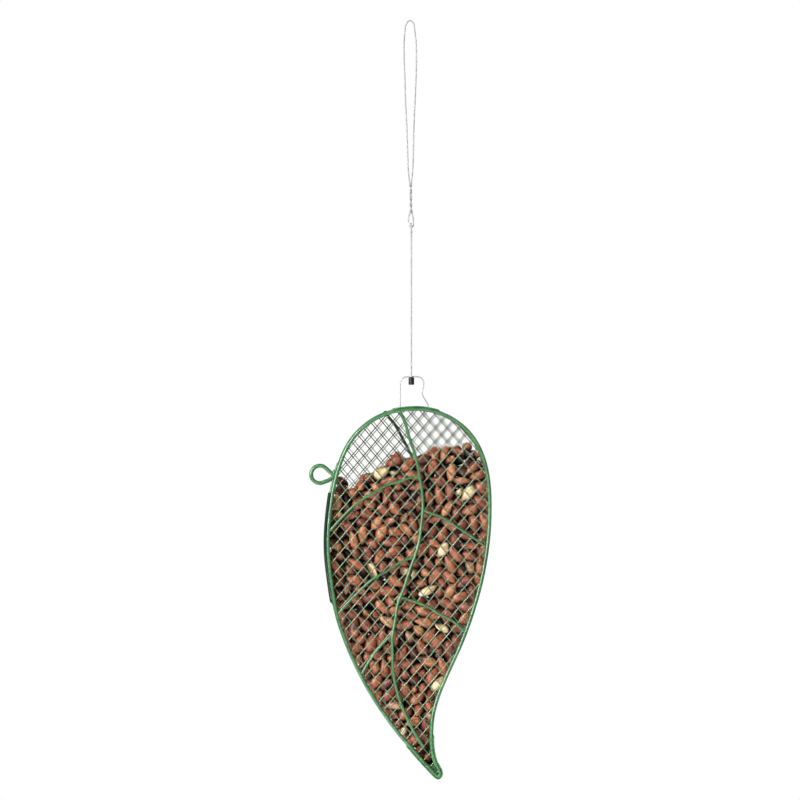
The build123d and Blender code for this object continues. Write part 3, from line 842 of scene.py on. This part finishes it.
def near_pairs(points):
    """Indices of neighbouring spheres of different kernels."""
    cell = np.floor((points - [x0, -30, z0]) / CELL).astype(int)
    key = (cell[:, 0] * 64 + cell[:, 1]) * 64 + cell[:, 2]
    order = np.argsort(key, kind="stable")
    sorted_key = key[order]
    firsts, seconds = [], []
    for dx, dy, dz in product((-1, 0, 1), repeat=3):
        want = key + (dx * 64 + dy) * 64 + dz
        left = np.searchsorted(sorted_key, want, "left")
        found = np.searchsorted(sorted_key, want, "right") - left
        firsts.append(np.repeat(np.arange(len(points)), found))
        start = np.repeat(left - np.r_[0, np.cumsum(found)[:-1]], found)
        seconds.append(order[start + np.arange(found.sum())])
    first, second = np.concatenate(firsts), np.concatenate(seconds)
    keep = (first < second) & (OWNER[first] != OWNER[second])
    first, second = first[keep], second[keep]
    apart = np.linalg.norm(points[first] - points[second], axis=1)
    keep = apart < BALL_R[first] + BALL_R[second] + REACH
    return first[keep], second[keep]


def push_apart(points, first, second):
    """Moves overlapping spheres away from each other."""
    between = points[second] - points[first]
    apart = np.maximum(np.linalg.norm(between, axis=1), 1e-6)
    over = BALL_R[first] + BALL_R[second] - apart
    hit = over > 0
    push = (between[hit] / apart[hit][:, None]) * (0.5 * over[hit])[:, None]
    first, second, total = first[hit], second[hit], len(points)
    move = np.zeros_like(points)
    for k in range(3):
        move[:, k] -= np.bincount(first, push[:, k], total)
        move[:, k] += np.bincount(second, push[:, k], total)
    touch = 1.0 + np.bincount(first, minlength=total) + np.bincount(second, minlength=total)
    move /= np.sqrt(touch)[:, None]
    return points + move * 0.8


def keep_in(points):
    """Holds spheres between the mesh panels and inside the outline."""
    limit = half - WALL_GAP
    points[:, 1] = np.clip(points[:, 1], -limit + BALL_R, limit - BALL_R)
    i, j = grid_cells(points)
    need = np.maximum(0.0, BALL_R - OVERHANG - inside[i, j])
    points[:, 0] += inward_x[i, j] * need * 0.7
    points[:, 2] += inward_z[i, j] * need * 0.7


def pack():
    """Centres and long axes of the settled kernels."""
    cells = np.argwhere(depth_in > 2)
    pick = cells[rng.integers(0, len(cells), COUNT)]
    centre = np.c_[x0 + pick[:, 0] * GRID, rng.uniform(-half + 4, half - 4, COUNT),
                   z0 + pick[:, 1] * GRID]
    axis = unit_rows(rng.standard_normal((COUNT, 3)) * [1.0, 0.55, 1.0])
    reach = np.array([-1.0, 0.0, 1.0])[None, :, None] * LONG[:, None, None]
    for step in range(STEPS):
        points = (centre[:, None, :] + axis[:, None, :] * reach).reshape(-1, 3)
        if step % PAIR_EVERY == 0:
            first, second = near_pairs(points)
        points = push_apart(points, first, second)
        keep_in(points)
        trios = points.reshape(COUNT, 3, 3)
        centre = trios.mean(1)
        axis = unit_rows(trios[:, 2] - trios[:, 0])
    return centre, axis


# ------------------------------------------------------------------ kernels
# pale kernels with no skin stand in these places on the front (x, z)
PALE = [
    (11.0, -452.8), (-14.6, -360.8), (-26.6, -365.6), (45.4, -376.8), (20.6, -532.0),
    (-5.0, -563.2), (7.8, -559.2), (-34.0, -436.0), (30.0, -420.0),
]
# painted shade for deep gaps between kernels on the front (x, z, reach)
GAP_SHADES = [
    (-55.0, -370.5, 6.5), (-40.2, -426.4, 3.8), (-60.5, -415.8, 3.2), (42.4, -438.4, 3.2),
    (43.0, -450.8, 3.0), (-45.0, -484.0, 3.4), (3.8, -452.0, 3.0), (8.4, -434.6, 3.2),
    (9.4, -508.8, 3.2), (-17.8, -532.8, 3.2), (-15.4, -554.8, 3.0), (8.6, -583.6, 3.0),
]
FLAT_FROM = 15.0  # beyond this |y|, kernels are pressed flatter by the mesh
BALL_VERTS, BALL_FACES = ball(10, 14)


def kernel_shape(seed, split):
    """One kernel, poles along X: a small nib at the narrower end; split: half a kernel."""
    draw = np.random.default_rng(seed)
    verts = BALL_VERTS.copy()
    x = verts[:, 0]  # a view, so it follows every change below
    taper = 1.0 - 0.16 * x - 0.10 * x * x * draw.uniform(0.3, 1.3)
    verts[:, 1] *= taper * draw.uniform(0.95, 1.08)
    verts[:, 2] *= taper * draw.uniform(0.86, 0.98)
    verts[:, 0] += 0.13 * np.exp(-((1 - x) / 0.12))  # nib
    for _ in range(5):
        way = unit(draw.standard_normal(3))
        swell = 0.055 * draw.standard_normal()
        verts *= (1 + swell * np.sin(3.0 * (BALL_VERTS @ way) + draw.uniform(0, 6)))[:, None]
    angle = np.arctan2(BALL_VERTS[:, 2], BALL_VERTS[:, 1])
    from_crease = np.abs(np.angle(np.exp(1j * (angle - draw.uniform(0, 6)))))
    crease = np.exp(-((from_crease / 0.28) ** 2)) * (1 - x * x)
    verts[:, 1:] *= (1 - 0.09 * crease)[:, None]
    if split:
        z = verts[:, 2]
        verts[:, 2] = np.where(z < -0.08, -0.08 + 0.10 * (z + 0.08) + 0.05 * (1 - x * x), z)
    return verts


def pale_kernels(centre):
    """The kernels nearest to the PALE places, and a few spread through the heap."""
    behind = np.where(centre[:, 1] < -6, 0, 500)  # rules out all but the front ones
    pale = {int(np.argmin(np.hypot(centre[:, 0] - x, centre[:, 2] - z) + behind))
            for x, z in PALE}
    return pale | set(range(7, COUNT, 103))


def painted_depth_shade(points):
    """Painted shade: 0 at the faces of the heap, rising to 1 inside it and in the gaps."""
    sunken = np.minimum(half + 0.3 - np.abs(points[:, 1]),
                        np.maximum(inside[grid_cells(points)], 0.0) + 0.8)
    dark = np.clip((sunken - 1.6) / 6.5, 0.0, 1.0)
    for x, z, reach in GAP_SHADES:
        apart = ((points[:, 0] - x) ** 2 + (points[:, 2] - z) ** 2) / reach**2
        dark = np.maximum(dark, 0.95 * np.exp(-(apart**1.5)) * (points[:, 1] < -2))
    return dark


def peanuts():
    centre, axis = pack()
    pale = pale_kernels(centre)
    wholes = [kernel_shape(100 + k, False) for k in range(12)]
    halves = [kernel_shape(200 + k, True) for k in range(3)]
    builder = Builder()
    for i in range(COUNT):
        along = axis[i] if rng.random() < 0.5 else -axis[i]
        across = unit(np.cross(along, rng.standard_normal(3)))
        third = np.cross(along, across)
        if i in pale and rng.random() < 0.45:
            shape = halves[i % len(halves)]
        else:
            shape = wholes[int(rng.integers(0, len(wholes)))]
        thick = RAD[i] * 1.03
        local = shape * [LONG[i] + RAD[i] * 0.93, thick, thick]
        points = centre[i] + local[:, :1] * along + local[:, 1:2] * across + local[:, 2:3] * third
        y = np.abs(points[:, 1])
        flat = np.where(y > FLAT_FROM, FLAT_FROM + (y - FLAT_FROM) * 0.5, y)
        points[:, 1] = np.sign(points[:, 1]) * flat
        tags = np.ones((len(points), 4))
        tags[:, 0] = rng.beta(2.2, 2.0)
        if i not in pale:
            tags[:, 1] = 0.25 if rng.random() < 0.04 else 0.0
        tags[:, 2] = painted_depth_shade(points)
        builder.add(points, BALL_FACES, tags)
    builder.make("peanut_kernels", KERNEL, "feeder", ["peanuts"])


peanuts()

# ------------------------------------------------------------------ stage, light and camera (m)
FLOOR_HALF = 0.6
FLOOR_Z = -0.75
LIGHT_TARGET = (0.0, 0.0, -0.45)
CAMERA_DISTANCE = 5.5
CAMERA_YAW = math.radians(-1.3)


def build_floor():
    mesh = bpy.data.meshes.new("floor")
    corners = [(-1, -1), (1, -1), (1, 1), (-1, 1)]
    mesh.from_pydata([(x * FLOOR_HALF, y * FLOOR_HALF, FLOOR_Z) for x, y in corners],
                     [], [(0, 1, 2, 3)])
    ground = bpy.data.objects.new("floor", mesh)
    bpy.context.scene.collection.objects.link(ground)
    material, shader, bsdf = new_material("pale_floor")
    shader.feed(bsdf, {
        "Base Color": (0.9, 0.9, 0.9, 1),
        "Roughness": 0.9,
        "Emission Color": (1, 1, 1, 1),
        "Emission Strength": 0.55,
    })
    mesh.materials.append(material)


def build_world():
    """White to the camera; everything else sees a dim grey, lighter overhead."""
    world = bpy.data.worlds.new("studio")
    bpy.context.scene.world = world
    world.use_nodes = True
    shader = Shader(world.node_tree)
    white = world.node_tree.nodes["Background"]
    shader.feed(white, {"Color": (1, 1, 1, 1), "Strength": 1.0})
    soft = shader.node("ShaderNodeBackground")
    sky = shader.ramp(shader.component("Generated", "Z"),
                      [(0.0, grey(0.20)), (0.45, grey(0.34)), (1.0, grey(0.75))])
    shader.feed(soft, {"Color": sky, "Strength": 0.30})
    ray = shader.node("ShaderNodeLightPath")
    mix = shader.node("ShaderNodeMixShader")
    shader.feed(mix, {0: ray.outputs["Is Camera Ray"], 1: soft.outputs[0], 2: white.outputs[0]})
    shader.feed(world.node_tree.nodes["World Output"], {"Surface": mix.outputs[0]})


def area_light(name, place, size, watts):
    """An area light turned to LIGHT_TARGET."""
    light = bpy.data.lights.new(name, "AREA")
    light.energy = watts
    light.size = size
    obj = bpy.data.objects.new(name, light)
    obj.location = place
    aim = Vector(LIGHT_TARGET) - Vector(place)
    obj.rotation_euler = aim.to_track_quat("-Z", "Y").to_euler()
    bpy.context.scene.collection.objects.link(obj)
    return light


def build_camera():
    data = bpy.data.cameras.new("camera")
    data.lens = 309.4
    data.sensor_width = 36.0
    data.clip_end = 100
    camera = bpy.data.objects.new("camera", data)
    camera.location = (-0.0082 + CAMERA_DISTANCE * math.sin(CAMERA_YAW),
                       -CAMERA_DISTANCE * math.cos(CAMERA_YAW), -0.303)
    camera.rotation_euler = (math.radians(90), 0, CAMERA_YAW)
    bpy.context.scene.collection.objects.link(camera)
    bpy.context.scene.camera = camera


build_floor()
bpy.context.scene.view_settings.view_transform = "Standard"
build_world()
key = area_light("key", (-1.45, -1.30, 0.30), size=0.42, watts=58)
key.shape = "RECTANGLE"
key.size_y = 1.5
area_light("fill", (1.2, -1.8, -0.2), size=1.0, watts=4)
area_light("rim", (0.9, 1.7, 0.4), size=0.9, watts=11)
area_light("under", (-0.2, -1.2, -0.60), size=0.8, watts=2)
build_camera()
